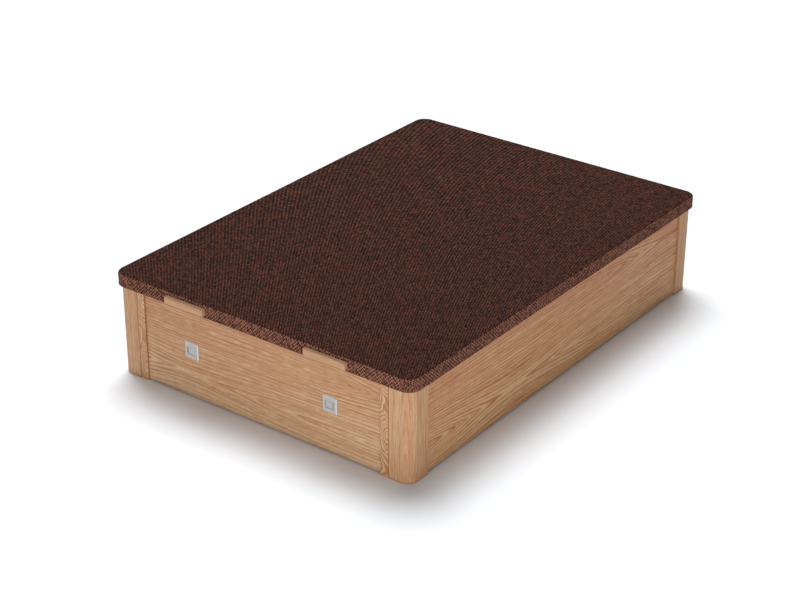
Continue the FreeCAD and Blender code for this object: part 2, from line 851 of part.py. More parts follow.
def lid_arms():
    """An angle under the side batten: a leg screwed to it and a flange with bore and slot."""
    start = front_head[0] - arm_reach
    end = rear_head[0] + arm_end_margin
    low = min(front_head[1], rear_head[1]) - arm_drop_margin
    path = slide_path()
    along = [y for y, z in path]
    across = [z for y, z in path]
    slot_width = max(across) - min(across) + slide_pin_diameter + 2 * slide_clearance
    slot_z = front_head[1] + (max(across) + min(across)) / 2
    slack = slide_clearance - (slot_width - slide_pin_diameter) / 2
    slot_start = (front_head[0] + min(along) - slack, slot_z)
    slot_end = (front_head[0] + max(along) + slack, slot_z)
    flange = plate_yz([
        (start, lid_bottom),
        (end, lid_bottom),
        (end, low),
        (front_head[0] - arm_end_margin, low),
        (start, lid_bottom - arm_nose_height),
    ], arm_in, arm_out)
    lower = [e for e in edges_along(flange, X_AXIS) if e.Vertexes[0].Point.z < low + joint_clearance]
    flange = flange.makeFillet(arm_radius, lower)
    leg = block(arm_leg_in, arm_out, start, end, lid_bottom - arm_thickness, lid_bottom)
    x0 = arm_in - overrun
    depth = arm_thickness + 2 * overrun
    cuts = [
        rod(pivot_tail_diameter + 2 * pivot_fit, depth, point(x0, *rear_head), X_AXIS),
        bar_yz(slot_start, slot_end, slot_width, x0, x0 + depth),
    ]
    arm = without(joined([flange, leg]), cuts + arm_screw_holes())
    pin = turned_pin(rear_head, arm_out + pivot_rivet_height, [
        (pivot_collar_diameter, arm_out),
        (pivot_tail_diameter, arm_in),
        (pivot_collar_diameter, link_out + axial_play),
        (pivot_diameter, link_in - axial_play),
        (pivot_collar_diameter, link_in - axial_play - pivot_head_height),
    ])
    screws = [screw(seat, Z_AXIS, arm_screw_length()) for seat in arm_screw_seats()]
    return {
        "right_lid_arm": arm,
        "left_lid_arm": flipped_x(arm),
        "lid_pivot_pins": group([pin, flipped_x(pin)]),
        "lid_arm_screws": group(screws + [flipped_x(s) for s in screws]),
    }


def gas_struts():
    """A barrel on its foot stud and a rod from the rear link that slides in it."""
    foot = point(strut_x, *strut_foot)
    head = point(strut_x, *strut_head)
    way = (head - foot).normalize()
    eye_half = strut_eye_width / 2
    eye_radius = strut_eye_diameter / 2
    eye_bore = strut_pin_diameter + 2 * pivot_fit
    mouth = strut_closed - eye_radius - strut_mouth_gap
    rod_length = strut_open - mouth + strut_overlap
    bore_start = strut_closed - rod_length - strut_bottom_gap
    tube_start = eye_radius + strut_neck_length
    eye = rod(strut_eye_diameter, strut_eye_width, foot - X_AXIS * eye_half, X_AXIS)
    eye_hole = rod(eye_bore, strut_eye_width + 2 * overrun, foot - X_AXIS * (eye_half + overrun), X_AXIS)
    neck = rod(strut_neck_diameter, tube_start, foot, way)
    tube = rod(strut_barrel_diameter, mouth - tube_start, foot + way * tube_start, way)
    bore = rod(strut_rod_diameter + 2 * strut_rod_clearance, mouth - bore_start + overrun,
               foot + way * bore_start, way)
    barrel = without(joined([eye, neck, tube]), [bore, eye_hole])
    shift = head - foot
    piston = joined([eye.translated(shift), rod(strut_rod_diameter, rod_length, head, -way)])
    piston = piston.cut(eye_hole.translated(shift))
    return {
        "right_strut_barrel": barrel,
        "left_strut_barrel": flipped_x(barrel),
        "right_strut_rod": piston,
        "left_strut_rod": flipped_x(piston),
    }


def main():
    os.makedirs("parts", exist_ok=True)
    pieces = {}
    for make in (corner_posts, glides_and_buffers, cover_strips, joint_plates, wall_panels,
                 storage_floor, ventilation, lid_frame, lid_layers, handles, lift_bases, links,
                 lid_arms, gas_struts):
        pieces.update(make())
    to_middle = point(0, handle_depth / 2, 0)
    for name, shape in pieces.items():
        shape.translated(to_middle).exportStep(os.path.join("parts", name + ".step"))
    print(len(pieces), "nodes")
    print("strut closed", round(strut_closed, 1), "open", round(strut_open, 1))


main()
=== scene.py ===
"""Storage bed base with a lift-up lid: finishes, lid upholstery, lining and a plain studio."""

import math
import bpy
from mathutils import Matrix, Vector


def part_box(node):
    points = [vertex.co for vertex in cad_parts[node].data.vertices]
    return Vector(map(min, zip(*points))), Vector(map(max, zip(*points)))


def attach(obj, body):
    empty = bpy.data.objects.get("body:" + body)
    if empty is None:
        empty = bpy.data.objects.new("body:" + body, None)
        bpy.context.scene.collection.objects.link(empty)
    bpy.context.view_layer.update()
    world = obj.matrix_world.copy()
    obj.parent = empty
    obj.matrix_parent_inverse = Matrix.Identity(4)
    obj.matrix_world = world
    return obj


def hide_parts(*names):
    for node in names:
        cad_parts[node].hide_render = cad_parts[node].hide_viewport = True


bl_info = {
    "name": "Storage bed base",
    "version": (1, 0, 0),
    "blender": (4, 5, 0),
    "location": "View3D > Sidebar > Bed base",
    "description": "Dresses the packed bed base in oak, fabric and steel and makes its soft lid",
    "category": "Object",
}

import bpy
import bmesh
import numpy as np
from bpy.props import FloatProperty, FloatVectorProperty, PointerProperty
from bpy.types import Operator, Panel, PropertyGroup
from mathutils import Matrix

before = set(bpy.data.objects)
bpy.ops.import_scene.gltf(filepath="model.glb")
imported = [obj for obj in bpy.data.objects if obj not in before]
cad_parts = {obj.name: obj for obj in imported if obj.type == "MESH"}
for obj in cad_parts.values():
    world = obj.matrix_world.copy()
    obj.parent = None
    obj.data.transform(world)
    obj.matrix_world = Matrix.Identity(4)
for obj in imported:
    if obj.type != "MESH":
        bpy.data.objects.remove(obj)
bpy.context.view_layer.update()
COVER_LOW, COVER_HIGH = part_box("lid_cover")
FOAM_LOW, FOAM_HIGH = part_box("lid_foam")
SLATS_LOW, SLATS_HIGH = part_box("lid_cross_slats")
ARM_LOW, ARM_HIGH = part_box("right_lid_arm")
STRIP_LOW, STRIP_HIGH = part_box("front_right_strip")
COVER_HALVES = (COVER_HIGH.x - COVER_LOW.x) / 2, (COVER_HIGH.y - COVER_LOW.y) / 2
LID_MID = (COVER_LOW.y + COVER_HIGH.y) / 2
STRIP_MID = (STRIP_LOW.x + STRIP_HIGH.x) / 2
POST_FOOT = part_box("front_left_post")[0].z
PANEL_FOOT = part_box("front_panel")[0].z
WHITE = (1, 1, 1, 1)


def linear(red, green, blue):
    """A colour as it looks on a screen, 0 to 255, as the linear light that Blender works in."""
    shown = np.array((red, green, blue)) / 255
    light = np.where(shown > 0.04045, ((shown + 0.055) / 1.055) ** 2.4, shown / 12.92)
    return tuple(light.tolist())


def length(name, default, description):
    return FloatProperty(
        name=name, description=description, default=default, min=0, unit="LENGTH", precision=4
    )


def share(name, default, description):
    return FloatProperty(
        name=name, description=description, default=default, subtype="FACTOR", min=0, max=1
    )


def level(name, default, description):
    return FloatProperty(name=name, description=description, default=default, min=0)


def shade(name, red, green, blue, description):
    colour = linear(red, green, blue)
    return FloatVectorProperty(
        name=name, description=description, default=colour, subtype="COLOR", size=3, min=0, max=1
    )


class OakLook(PropertyGroup):
    """The oak decor of the panels, posts, strips and handles."""

    pale: shade("Pale", 205, 174, 138, "Early wood, the lightest lines of the grain")
    middle: shade("Middle", 186, 140, 102, "The wood between the lines")
    dark: shade("Dark", 155, 87, 50, "Late wood, the dark lines of the grain")
    # painted shade: darker at the feet of panels, posts and strips, on the strips' side faces and
    # in a line along the posts
    painted_shade: shade("Edge band", 158, 100, 66, "Thin painted_shading on the lower and side edges")
    # painted shade: the handles' top faces, and a dark line along their lower edge for the shadow
    # under them
    painted_handle_shade: shade("Handle edge", 104, 68, 44, "Upper and lower edge of the handle bars")
    line: length("Line spacing", 0.0135, "Distance between two lines of the panels' grain")
    ring: length("Ring spacing", 0.0088, "Distance between two growth rings of the posts")
    gloss: share("Roughness", 0.46, "Roughness of the satin surface")


class LidLook(PropertyGroup):
    """The lid's upholstery and its lining."""

    corner: length("Corner radius", 0.050, "Radius of the lid's corners seen from above")
    top_edge: length("Top edge radius", 0.012, "Radius where the top meets the border")
    low_edge: length("Lower edge radius", 0.004, "Radius where the border turns under the lid")
    turn_under: length("Turn-under", 0.045, "Cloth stapled under the lid")
    cloth: length("Cloth thickness", 0.0010, "Thickness of the cover")
    ridge: length("Edge ridge", 0.0009, "How far the woven ridge stands out of the top edge")
    crown: length("Crown", 0.0030, "How far the padding lifts the middle of the top")
    pull: length("Border pull", 0.0007, "How far the border is drawn in between its edges")
    yarn: length("Yarn pitch", 0.00616, "Distance between two rows of yarn on the top")
    float_run: length("Float length", 0.0075, "Length of a yarn between two crossings on the top")
    knot: length("Border float", 0.0067, "Pitch and length of the yarns on the border")
    sag: length("Lining sag", 0.0035, "How far the lining hangs down between the slats")
    # partly the dark of the mottle, partly painted shade in the depths between the yarns
    gap: shade("Gap", 14, 10, 10, "Depth between the yarns")
    brown: shade("Brown yarn", 87, 51, 38, "Most of the yarns")
    russet: shade("Russet yarn", 97, 51, 39, "The redder yarns")
    olive: shade("Olive yarn", 89, 56, 41, "The greyer yarns")
    # light flecks on the border, and a painted highlight along the ridge
    fleck_and_highlight: shade("Fleck", 190, 133, 110, "Light flecks on the border and along its ridge")
    lining: shade("Lining", 52, 52, 54, "Cloth on the underside of the lid")


class FittingLook(PropertyGroup):
    """Metal, plastic, rubber, board and plain timber."""

    # painted highlight: the lighter, bluish rim stands in for light caught by the bevel
    vent_rim_highlight: shade("Vent rim", 198, 203, 207, "Bevelled rim of the ventilation plates")
    vent_face: shade("Vent face", 182, 180, 178, "Middle of the ventilation plates")
    steel: shade("Painted steel", 44, 44, 46, "Powder coat of the lift gear")
    zinc: shade("Zinc", 190, 190, 186, "Plating of the screws, pins and joint plates")
    chrome: shade("Chrome", 214, 214, 216, "Rods of the gas struts")
    plastic: shade("Plastic", 40, 40, 41, "Glides and vent collars")
    rubber: shade("Rubber", 34, 34, 35, "Buffers under the lid")
    board: shade("Board", 196, 176, 148, "Floor boards and lid board")
    timber: shade("Timber", 206, 176, 132, "Battens, slats and cleats")
    foam: shade("Foam", 228, 222, 204, "Padding under the cover")


class StageLook(PropertyGroup):
    """Camera, lamps and floor."""

    lens: FloatProperty(
        name="Lens",
        description="Focal length in millimetres on a 36 mm sensor",
        default=86.016,
        unit="CAMERA",
    )
    key: level("Key lamp", 8000.0, "Watts of the large soft lamp high behind the left side")
    front: level("Front lamp", 48.0, "Watts of the low soft lamp before the foot end")
    side: level("Side lamp", 60.0, "Watts of the low soft lamp beside the right side")
    sky: level("Sky", 0.08, "Strength of the even light from all round")
    floor: shade("Floor", 244, 248, 252, "Plain pale floor")


class Term:
    """One socket of a node tree. Sums, products and the like of terms add Math nodes."""

    def __init__(self, nodes, socket):
        self.nodes, self.socket = nodes, socket

    def calc(self, operation, *values):
        return self.nodes.node("ShaderNodeMath", {"operation": operation}, dict(enumerate(values)))

    def other(self, place):
        return Term(self.nodes, self.socket.node.outputs[place])

    def __add__(self, value):
        return self.calc("ADD", self, value)

    def __sub__(self, value):
        return self.calc("SUBTRACT", self, value)

    def __rsub__(self, value):
        return self.calc("SUBTRACT", value, self)

    def __mul__(self, value):
        return self.calc("MULTIPLY", self, value)

    def __truediv__(self, value):
        return self.calc("DIVIDE", self, value)

    def __pow__(self, value):
        return self.calc("POWER", self, value)

    def __abs__(self):
        return self.calc("ABSOLUTE", self)

    __radd__ = __add__

    def floor(self):
        return self.calc("FLOOR", self)

    def fract(self):
        return self.calc("FRACT", self)

    def sine(self):
        return self.calc("SINE", self)

    def most(self, value):
        return self.calc("MAXIMUM", self, value)


class Nodes:
    """A node tree that is filled by one call for each node."""

    def __init__(self, tree):
        self.tree = tree
        tree.nodes.clear()

    def node(self, kind, settings=None, sockets=None, out=0):
        """Adds a node, fills its settings, and its sockets by value or link; gives one output."""
        made = self.tree.nodes.new(kind)
        for name, value in (settings or {}).items():
            if name == "stops":
                marks = made.color_ramp.elements
                for place, mark in enumerate(value):
                    spot = marks[place] if place < len(marks) else marks.new(mark[0])
                    spot.position = mark[0]
                    spot.color = (*(mark[1] if np.ndim(mark[1]) else (mark[1],) * 3), 1)
            else:
                setattr(made, name, value)
        for name, value in (sockets or {}).items():
            if isinstance(value, Term):
                self.tree.links.new(value.socket, made.inputs[name])
            else:
                made.inputs[name].default_value = value
        return Term(self, made.outputs[out]) if made.outputs else None

    def join(self, x, y, z):
        return self.node("ShaderNodeCombineXYZ", None, {0: x, 1: y, 2: z})

    def split(self, vector):
        first = self.node("ShaderNodeSeparateXYZ", None, {0: vector})
        return first, first.other(1), first.other(2)

    def place(self):
        """Where a point is in the object, in metres."""
        return self.split(self.node("ShaderNodeTexCoord", None, None, "Object"))

    def own(self, name, out="Fac"):
        """A value that the mesh carries at its points."""
        return self.node("ShaderNodeAttribute", {"attribute_name": name}, None, out)

    def noise(self, x, y, z, detail=0.0, rough=0.5):
        return self.node(
            "ShaderNodeTexNoise",
            None,
            {"Vector": self.join(x, y, z), "Scale": 1.0, "Detail": detail, "Roughness": rough},
        )

    def chance(self, x, y, z):
        """An even random number for each whole x, y and z."""
        settings, sockets = {"noise_dimensions": "3D"}, {"Vector": self.join(x, y, z)}
        return self.node("ShaderNodeTexWhiteNoise", settings, sockets, "Value")

    def step(self, value, low, high):
        """Smoothly 0 below low and 1 above high."""
        return self.node(
            "ShaderNodeMapRange",
            {"interpolation_type": "SMOOTHSTEP"},
            {"Value": value, "From Min": low, "From Max": high},
        )

    def ramp(self, value, stops):
        """Colours or greys at stops from 0 to 1, with even changes between them."""
        return self.node("ShaderNodeValToRGB", {"stops": stops}, {"Fac": value})

    def blend(self, factor, first, second):
        """Colour that goes from the first to the second as the factor goes from 0 to 1."""
        sockets = {0: factor}
        for place, side in ((6, first), (7, second)):
            sockets[place] = side if isinstance(side, Term) else (*side, 1)
        return self.node("ShaderNodeMix", {"data_type": "RGBA"}, sockets, 2)


class Finish(Nodes):
    """A material made of nodes."""

    def __init__(self, name):
        self.material = bpy.data.materials.new(name)
        self.material.use_nodes = True
        super().__init__(self.material.node_tree)

    def surface(self, sockets, height, distance, strength):
        """Ends the tree in one Principled shader, whose normal a bump of some height tilts."""
        bump = {"Strength": strength, "Distance": distance, "Height": height}
        normal = self.node("ShaderNodeBump", None, bump)
        shader = self.node("ShaderNodeBsdfPrincipled", None, {**sockets, "Normal": normal})
        self.node("ShaderNodeOutputMaterial", None, {"Surface": shader})
        return self

    def on(self, *names):
        """Gives the finish to CAD nodes."""
        for name in names:
            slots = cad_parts[name].data.materials
            slots.clear()
            slots.append(self.material)


def both(*names):
    """The left and the right piece of each name."""
    return [f"{side}_{name}" for name in names for side in ("left", "right")]


def corners(name):
    """The pieces of a name at the four corners of the box."""
    return [f"{end}_{piece}" for end in ("front", "rear") for piece in both(name)]


def along_x(x, y, z):
    return x, z, y


def along_y(x, y, z):
    return y, z, x


def upright(x, y, z):
    """Grain up a post. Across it, the distance goes on round the outer corner."""
    return z, abs(x) - abs(y), x + y


def pith_rings(across, depth, crest, wave, swing):
    """Growth rings as circles about a pith line that runs along the grain below the face.

    Its depth swings along the run as a cosine, and where it changes, a ring shows as two lines
    that close in an arch.
    """

    def distance(f, run, over, bend):
        reach = over - bend - across
        deep = ((run - crest + wave / 4) * (2 * math.pi / wave)).sine() * swing + depth
        return (reach * reach + deep * deep) ** 0.5

    return distance


def board_rings(start, low, high, shift):
    """Growth rings of a flat-sawn board: lines that close in pointed arches on two levels.

    The distance grows away from the low line on both sides and falls away from the high line.
    Near the low line it is raised by a hump along the run that peaks before the start, so arches
    point at the peak from both ends. Near the high line it is lowered by a step along the run, so
    arches close there. A shift is added to it all.
    """
    bluntness, fading, bend_share = 0.00004, 156, 0.4
    hump_start, hump_peak, hump_end, hump_height = -0.74, -0.10, 0.50, 0.072
    step_start, step_end, step_height = 0.45, 0.95, 0.055

    def fold(gap):
        return (gap * gap + bluntness) ** 0.5

    def near(gap):
        return (gap * gap * fading + 1) ** -1.0

    def distance(f, run, over, bend):
        along = run - start
        under, above = (over - bend * bend_share - line for line in (low, high))
        fall = f.step(along, hump_peak, hump_end) * 0.5
        hump = f.step(along, hump_start, hump_peak) - fall - 0.5
        shut = f.step(along, step_start, step_end) - 0.5
        raised = fold(under) + hump * near(under) * hump_height
        lowered = fold(above) + shut * near(above) * step_height
        return raised - lowered - under + shift

    return distance


def wood_tones(f, tone, tones):
    """Colour of a tone from 0 to 1: a dark, a middle and a pale one."""
    dark, middle, pale = tones
    return f.ramp(tone, [(0.0, dark), (0.62, middle), (1.0, pale)])


def painted_foot_shade(f, colour, z, foot, painted_shade):
    """A thin line of painted shade along the lower edge."""
    # painted shade, fading out between 1 and 7 mm above the foot
    start, end, cover = foot + 0.001, foot + 0.007, 0.5
    return f.blend((1 - f.step(z, start, end)) * cover, colour, painted_shade)


def on_faces(f, colour, axis, cover, other):
    """Another colour on the faces that look along an axis, either way."""
    facing = f.split(f.node("ShaderNodeNewGeometry", None, None, "Normal"))[axis]
    return f.blend(f.step(abs(facing), 0.6, 0.8) * cover, colour, other)


def wood_surface(f, colour, rough, relief, strength):
    """Satin wood with a little shine and a shallow relief."""
    sockets = {"Base Color": colour, "Roughness": rough, "Specular IOR Level": 0.25}
    return f.surface(sockets, relief, 0.0004, strength)


def wood(name, tones, seed, grain, distance, ring, figure, gloss, painted_foot_light=0.0, trim=None):
    """Wood by the distance of its growth rings, with a slow bend and a finer wander in them.

    A ring darkens towards its outer edge and starts again pale; streaks, fibres and pores lie
    along it, and painted light makes the lower part paler. A trim gives the height of the foot,
    the colour of the painted shade along it, and the colour of faces that look up or down, which
    on the handles is painted shade.
    """
    f = Finish(name)
    x, y, z = f.place()
    run, over, back = grain(x, y, z)
    kind = back * 2.3 + seed
    bend = (f.noise(run * 1.1, kind, 0.4) - 0.5) * 0.05
    wander = f.noise(run * 2.0, over * 15, kind, 3.0) - 0.5
    rings = distance(f, run, over, bend) / ring + wander * 1.5
    rising = [(0, 0.0), (0.10, 0.05), (0.5, 0.3), (0.74, 0.8), (0.85, 1.0)]
    late = f.ramp(rings.fract(), rising + [(0.93, 0.75), (0.99, 0.0)])
    deep = f.step(f.noise(rings * 0.95, run * 0.9, kind + 3.1), 0.28, 0.68) * 0.7 + 0.3
    streak = f.noise(run * 1.6, rings * 1.5, kind, 4.0, 0.75) - 0.5
    dash = f.noise(run * 26, rings * 2.6, kind, 2.0, 0.6) - 0.5
    fibre = f.noise(run * 8, over * 330, kind, 3.0, 0.7) - 0.5
    pores = f.step(f.noise(run * 38, over * 900, kind), 0.58, 0.72)
    broad = f.noise(run * 0.7, over * 5, kind) - 0.5
    tone = 0.68 - (late - 0.3) * deep * figure + streak * (0.8 + figure)
    # painted light: paler towards the bottom, against the shade near the floor
    tone += dash * 0.8 + fibre * 0.8 + broad * 0.3 + (0.2 - over) * painted_foot_light
    colour = wood_tones(f, tone - pores * 0.12, tones)
    if trim:
        foot, painted_shade, edge = trim
        # painted shade along the foot; faces that look up or down get the trim's last colour
        colour = on_faces(f, painted_foot_shade(f, colour, z, foot, painted_shade), 2, 0.8, edge)
    rough = late * 0.08 + pores * 0.1 + fibre * 0.2 + gloss
    return wood_surface(f, colour, rough, fibre * 0.5 - pores * 0.6 - late * 0.25, 0.15)


def curly_oak(look):
    """Swirled figure of the strips: rings about a pith line beside the strip's middle.

    The line's depth swings up the strip as a sine with slow noise in it, so the rings bow, and
    close in arches now and then. Painted shade lies as a dark line along the post, and on the
    strip's side faces.
    """
    pith, ring, depth_mean, depth_swing = 0.014, 0.0062, 0.030, 0.018
    seam_shade_start, seam_shade_end, cover = 0.0130, 0.0145, 0.75
    f = Finish("oak strips")
    x, y, z = f.place()
    kind = x * 3.1 + y
    lean = x - x / abs(x) * STRIP_MID
    swell = f.noise(z * 9, lean * 20, kind, 2.0) - 0.5
    depth = (z * 24 + kind + swell * 3).sine() * depth_swing + depth_mean
    reach = lean - pith
    waves = (reach * reach + depth * depth) ** 0.5 / ring + swell * 0.8
    late = f.ramp(waves.fract(), [(0, 0.05), (0.3, 0.35), (0.75, 0.9), (0.93, 0.6), (1.0, 0.05)])
    deep = f.step(f.noise(waves * 0.6, kind, 1.7), 0.2, 0.5)
    fibre = f.noise(z * 40, lean * 260, kind, 3.0) - 0.5
    tone = 0.71 - (late - 0.4) * deep * 0.95 + fibre * 0.8
    colour = wood_tones(f, tone, (look.dark, look.middle, look.pale))
    # painted shade on the strip's side faces
    colour = on_faces(f, colour, 0, cover, look.painted_shade)
    # painted shade of the gap along the post
    seam_shade = f.step(abs(x) - STRIP_MID, seam_shade_start, seam_shade_end)
    colour = painted_foot_shade(f, f.blend(seam_shade * cover, colour, look.painted_shade), z, POST_FOOT, look.painted_shade)
    rough = late * 0.08 + fibre * 0.2 + look.gloss
    return wood_surface(f, colour, rough, fibre - late * 0.3, 0.3)


def floats(f, across, along, turn_share, check):
    """A weave of short floats in rows: every other row is lighter, or every other float in a check.

    Gives a float's shade, in part by its turn and for the rest by chance, its height, a half round
    across and along it, and a second chance for its hue.
    """
    row, cell = across.floor(), along.floor()
    turn = ((row + cell * check) * 0.5).fract()
    tone = turn * (2 * turn_share) + f.chance(row, cell, 7) * (1 - turn_share)
    edge_across, edge_along = across.fract() * 2 - 1, along.fract() * 2 - 1
    end = edge_along * edge_along * edge_along * edge_along
    height = (1 - edge_across * edge_across) * (1 - end)
    return tone, height, f.chance(row, cell, 19)


def lid_fabric(look):
    """Mottled weave of short floats.

    On the top they lie in slanting rows that bow, on the border in a check with light flecks,
    and a painted highlight of light flecks runs along the ridge between them.
    """
    slant_cos, slant_sin = 0.921, 0.391
    f = Finish("mottled spacer fabric")
    u, v, _ = f.split(f.own("weave", "Vector"))
    edge, ridge = f.step(f.own("border"), 0.35, 0.65), f.own("ridge")
    bow = u * (u * 0.208 - v * 0.115) - v * v * 0.194
    across = u * slant_cos + v * slant_sin + bow
    along = v * slant_cos - u * slant_sin
    sway = f.noise(u * 24, v * 24, 9.0, 1.0) * 0.9
    waver = f.noise(u * 90, v * 90, 4.0, 1.0) * 2.0
    rows, cells = across / look.yarn + waver, along / look.float_run + sway
    tone, height, hue = floats(f, rows, cells, 0.40, 0)
    knot_tone, knot_height, knot_hue = floats(f, u / look.knot, v / look.knot, 0.44, 1)
    twist = f.noise(u * 330, v * 330, 2.0, 2.0) - 0.5
    slow = f.noise(u * 9, v * 9, 5.0, 3.0) - 0.5
    yarns = [(0.15, look.russet), (0.5, look.brown), (0.85, look.olive)]
    # partly painted shade: the yarn colour goes towards the gap colour where the floats dip at
    # their edges and ends
    deep = (0.86 - tone) * 1.6 + (1 - height) * 0.2 + twist * 0.8 - slow * 0.1
    top = f.blend(deep, f.ramp(hue, yarns), look.gap)
    rim = f.blend(f.step(knot_tone, 0.1, 0.9) * 0.45 + 0.03, f.ramp(knot_hue, yarns), look.fleck_and_highlight)
    rim = f.blend((0.81 - knot_tone) * 1.15 + twist * 0.6, rim, look.gap)
    # painted highlight: light flecks along the ridge
    rim = f.blend(ridge * f.step(knot_tone, 0.3, 0.6) * 0.35, rim, look.fleck_and_highlight)
    stand = height * (1 - edge) + knot_height * edge
    sockets = {
        "Base Color": f.blend(edge, top, rim),
        "Roughness": 0.95 - stand * 0.1,
        "Specular IOR Level": 0.06,
        "Sheen Weight": 0.03,
        "Sheen Roughness": 0.5,
        "Sheen Tint": (*look.russet, 1),
    }
    return f.surface(sockets, stand + twist * 0.3, 0.0010, 0.6)


def lining_cloth(look):
    """Spun-bonded cloth: small pressed dots in staggered rows over a field of crossing fibres."""
    f = Finish("spun lining cloth")
    x, y, _ = f.place()
    pitch = 0.006
    rows = y / pitch
    step = x / pitch + rows.floor() * 0.5
    left, low = step.fract() - 0.5, rows.fract() - 0.5
    dot = 1 - f.step((left * left + low * low) ** 0.5, 0.16, 0.3)
    fibre = f.noise(x * 260, y * 900, 1.0, 3.0) + f.noise(x * 900, y * 260, 4.0, 3.0) - 1.0
    cloud = f.noise(x * 22, y * 22, 8.0, 2.0) - 0.5
    dark = linear(30, 30, 32)
    colour = f.blend(dot * 0.45 + fibre * 0.5 + cloud * 0.6 + 0.2, look.lining, dark)
    sockets = {"Base Color": colour, "Roughness": 0.88 - dot * 0.2, "Specular IOR Level": 0.3}
    return f.surface(sockets, fibre - dot, 0.0004, 0.5)


def soft_foam(look):
    """Cut foam: fine open cells and a slow change of tone."""
    f = Finish("cut foam")
    x, y, z = f.place()
    cells = f.noise(x * 600, y * 600, z * 600, 2.0) - 0.5
    slow = f.noise(x * 7, y * 7, z * 7) - 0.5
    dark = linear(186, 174, 142)
    colour = f.blend(f.step(cells + slow * 0.4, -0.1, 0.35) * 0.5, look.foam, dark)
    return f.surface({"Base Color": colour, "Roughness": 0.95 - cells * 0.1}, cells, 0.0006, 0.6)


def fibre_board(look):
    """Pressed board: short fibres lying every way under a thin smooth face."""
    f = Finish("smooth fibreboard")
    x, y, z = f.place()
    flock = f.noise(x * 180, y * 60, z * 90, 3.0) + f.noise(x * 60, y * 180, z * 90, 3.0) - 1.0
    cloud = f.noise(x * 5, y * 5, z * 5, 2.0) - 0.5
    dark = linear(160, 134, 104)
    colour = f.blend(flock * 0.9 + cloud * 0.5 + 0.3, look.board, dark)
    return f.surface({"Base Color": colour, "Roughness": 0.55 + flock * 0.2}, flock, 0.0003, 0.3)


def satin_metal(name, colour, gloss, brush, metallic=1.0, spread=0.12, rim=None):
    """Metal with lines drawn one way: noise that is long along the brushing and fine across it.

    A rim, where there is one, is painted lighter as a highlight: it lies beyond a reach from a
    square plate's middle.
    """
    f = Finish(name)
    x, y, z = f.place()
    lines = f.noise(x * brush[0], y * brush[1], z * brush[2], 3.0) - 0.5
    cloud = f.noise(x * 12, y * 12, z * 12, 2.0) - 0.5
    darker = tuple(part * 0.85 for part in colour)
    tone = f.blend(lines * 0.8 + cloud * 0.5 + 0.25, colour, darker)
    if rim:
        middle, reach, light = rim
        # painted highlight on the rim
        out = abs(abs(x) - middle.x).most(abs(z - middle.z))
        tone = f.blend(f.step(out, reach, reach + 0.001), tone, light)
    rough = lines * spread + cloud * spread + gloss
    sockets = {"Base Color": tone, "Metallic": metallic, "Roughness": rough}
    return f.surface(sockets, lines, 0.0001, 0.3)


def moulded(name, colour, gloss, grain, depth, coat=0.0):
    """Paint, plastic or rubber: an even colour with slow clouds, over a skin of fine grain."""
    f = Finish(name)
    x, y, z = f.place()
    skin = f.noise(x * grain, y * grain, z * grain, 2.0) - 0.5
    cloud = f.noise(x * 9, y * 9, z * 9, 3.0) - 0.5
    lighter = tuple(min(1.0, part * 1.7 + 0.004) for part in colour)
    tone = f.blend(cloud * 0.8 + skin * 0.4 + 0.3, colour, lighter)
    rough = skin * 0.15 + cloud * 0.2 + gloss
    sockets = {"Base Color": tone, "Roughness": rough, "Coat Weight": coat}
    return f.surface(sockets, skin, depth, 0.5)


def quads(rows, columns):
    """Faces of a grid: each joins two points in a row and the two beside them in the next."""
    first = (np.arange(rows - 1)[:, None] * columns + np.arange(columns - 1)).ravel()
    return np.stack((first, first + columns, first + columns + 1, first + 1), 1)


def add(name, data):
    """An object in the scene for a mesh, lamp or camera."""
    thing = bpy.data.objects.new(name, data)
    bpy.context.scene.collection.objects.link(thing)
    return thing


def add_mesh(name, points, faces):
    mesh = bpy.data.meshes.new(name)
    mesh.from_pydata(points.reshape(-1, 3).tolist(), [], faces.tolist())
    return add(name, mesh)


def put(name, points, faces, body, finish, values=None):
    """A piece from points and faces, with values that its finish reads, riding on a body."""
    piece = add_mesh(name, points, faces)
    mesh = piece.data
    for kind, field in (values or {}).items():
        wide = field.shape[-1] == 3
        store = mesh.attributes.new(kind, "FLOAT_VECTOR" if wide else "FLOAT", "POINT")
        store.data.foreach_set("vector" if wide else "value", field.astype(np.float32).ravel())
    mesh.shade_smooth()
    mesh.materials.append(finish.material)
    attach(piece, body)
    return piece


def thicken(piece, thickness):
    """Gives a sheet its thickness, away from the side that shows."""
    wall = piece.modifiers.new("cloth thickness", "SOLIDIFY")
    wall.thickness, wall.offset = thickness, -1


def mend(piece, change):
    """Changes a piece's mesh by a function of its bmesh."""
    shell = bmesh.new()
    shell.from_mesh(piece.data)
    change(shell)
    shell.to_mesh(piece.data)
    shell.free()


def edge_marks(look, height):
    """Distances from the corner's centre line at which the wrapped slab's profile changes.

    In order: where the top edge starts to round, where the border starts and ends, where the
    turn-under starts and where it ends.
    """
    start = look.corner - look.top_edge
    wall = start + look.top_edge * math.pi / 2
    wall_end = wall + height - look.top_edge - look.low_edge
    under = wall_end + look.low_edge * math.pi / 2
    return start, wall, wall_end, under, under + look.turn_under


def wrap_lines(flat, marks, pitch):
    """Grid lines along one axis: even over the flat, closer over the edge and border."""
    inner = np.linspace(-flat, flat, int(round(2 * flat / pitch)) + 1)
    stretches = zip((0, *marks), marks, (4, 8, 8, 4, 6))
    edge = np.concatenate([np.linspace(low, high, count)[1:] for low, high, count in stretches])
    return np.concatenate((-flat - edge[::-1], inner, flat + edge))


